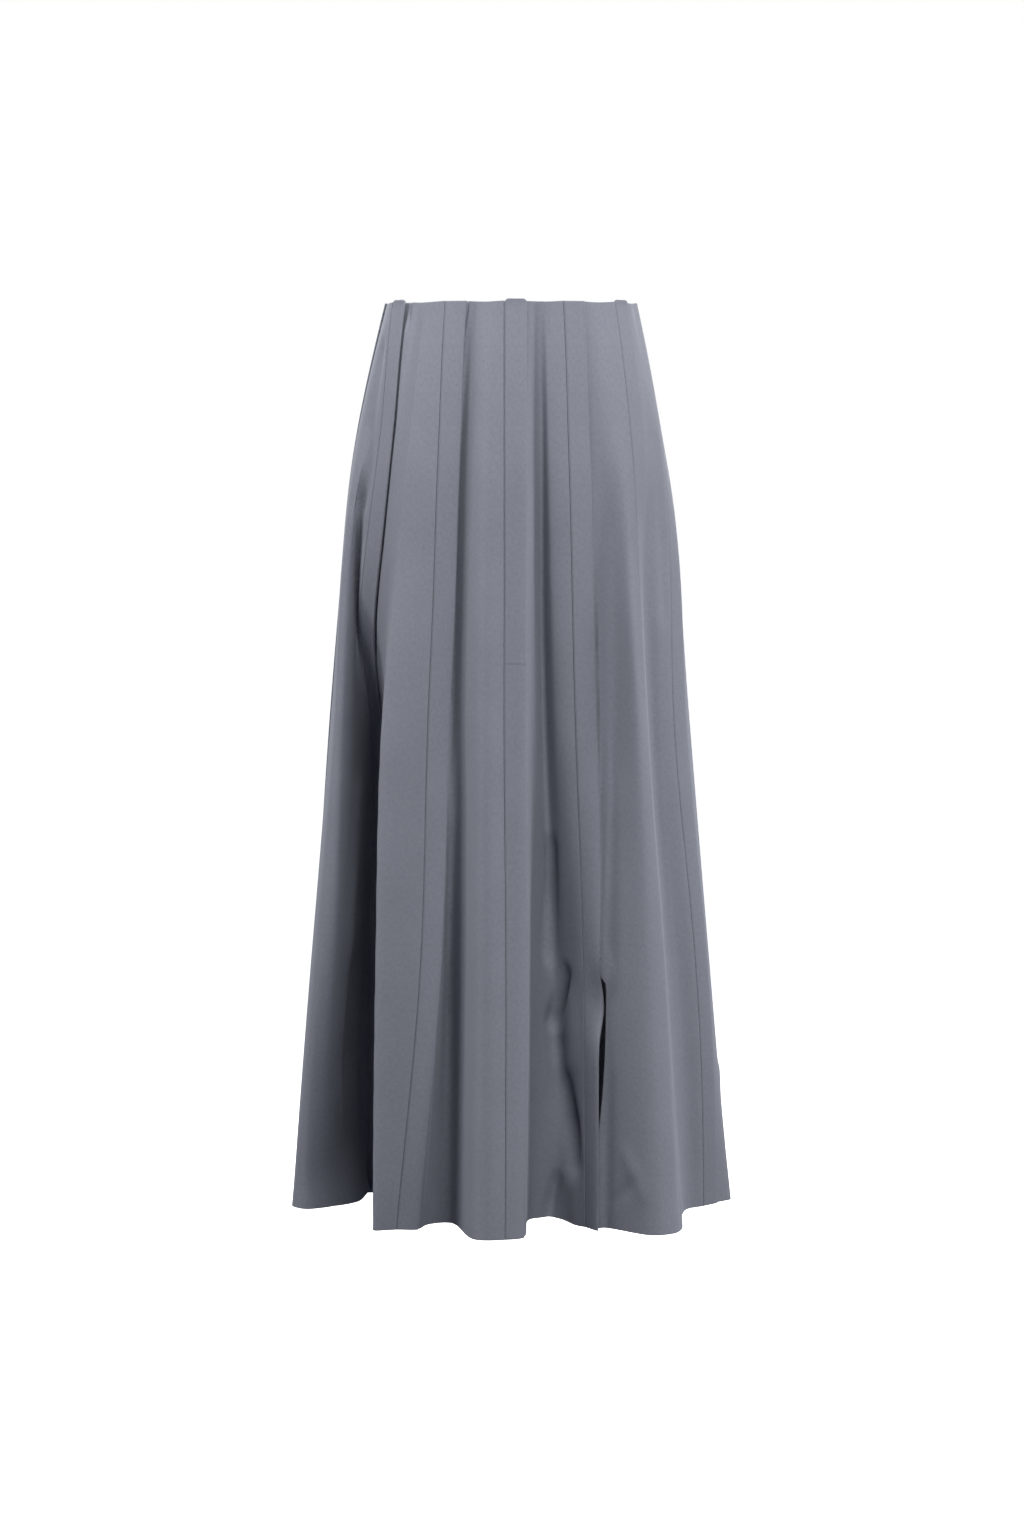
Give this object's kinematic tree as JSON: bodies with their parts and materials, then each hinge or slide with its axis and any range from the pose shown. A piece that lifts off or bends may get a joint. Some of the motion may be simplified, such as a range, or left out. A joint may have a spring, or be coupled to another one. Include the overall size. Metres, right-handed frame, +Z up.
{
  "type": "maxi skirt",
  "caption": "Full-length panelled skirt, filled out as worn, with flared gores, tuck strips lapped over each long seam, a front slit and a concealed back zip.",
  "frame": {"origin": "middle of the waist opening, level with the waist edge", "axes": "+Z up out of the waist, -Y to the front of the skirt, +X to the viewer's right when the front is faced"},
  "size_m": [0.4509, 0.3385, 0.933],
  "materials": {
    "gore_cloth": "matt slate blue-grey suiting with a fine weave",
    "strip_cloth": "the same suiting, doubled and pressed",
    "zip_tape": "woven polyester tape, dull",
    "zip_metal": "painted to match the cloth, semi-gloss"
  },
  "bodies": {
    "root": {"gore_01": "gore_cloth", "gore_02": "gore_cloth", "gore_03": "gore_cloth", "gore_04": "gore_cloth", "gore_05": "gore_cloth", "gore_06": "gore_cloth", "gore_07": "gore_cloth", "gore_08": "gore_cloth", "gore_09": "gore_cloth", "gore_10": "gore_cloth", "gore_11": "gore_cloth", "gore_12": "gore_cloth", "strip_01": "strip_cloth", "strip_02": "strip_cloth", "strip_03": "strip_cloth", "strip_04": "strip_cloth", "strip_05": "strip_cloth", "strip_06": "strip_cloth", "strip_07": "strip_cloth", "strip_08": "strip_cloth", "strip_09": "strip_cloth", "strip_10": "strip_cloth", "strip_11": "strip_cloth", "strip_12": "strip_cloth", "zip_tape": "zip_tape", "zip_slider": "zip_metal"},
    "pull_tab": {"zip_tab": "zip_metal"}
  },
  "joints": [
    {"name": "pull_tab_swing", "type": "hinge", "parent": "root", "child": "pull_tab", "pos_m": [0.0092, 0.09895, -0.00944], "axis": [0.9994, -0.0328, 0.0126], "range_deg": [0, 170]}
  ]
}
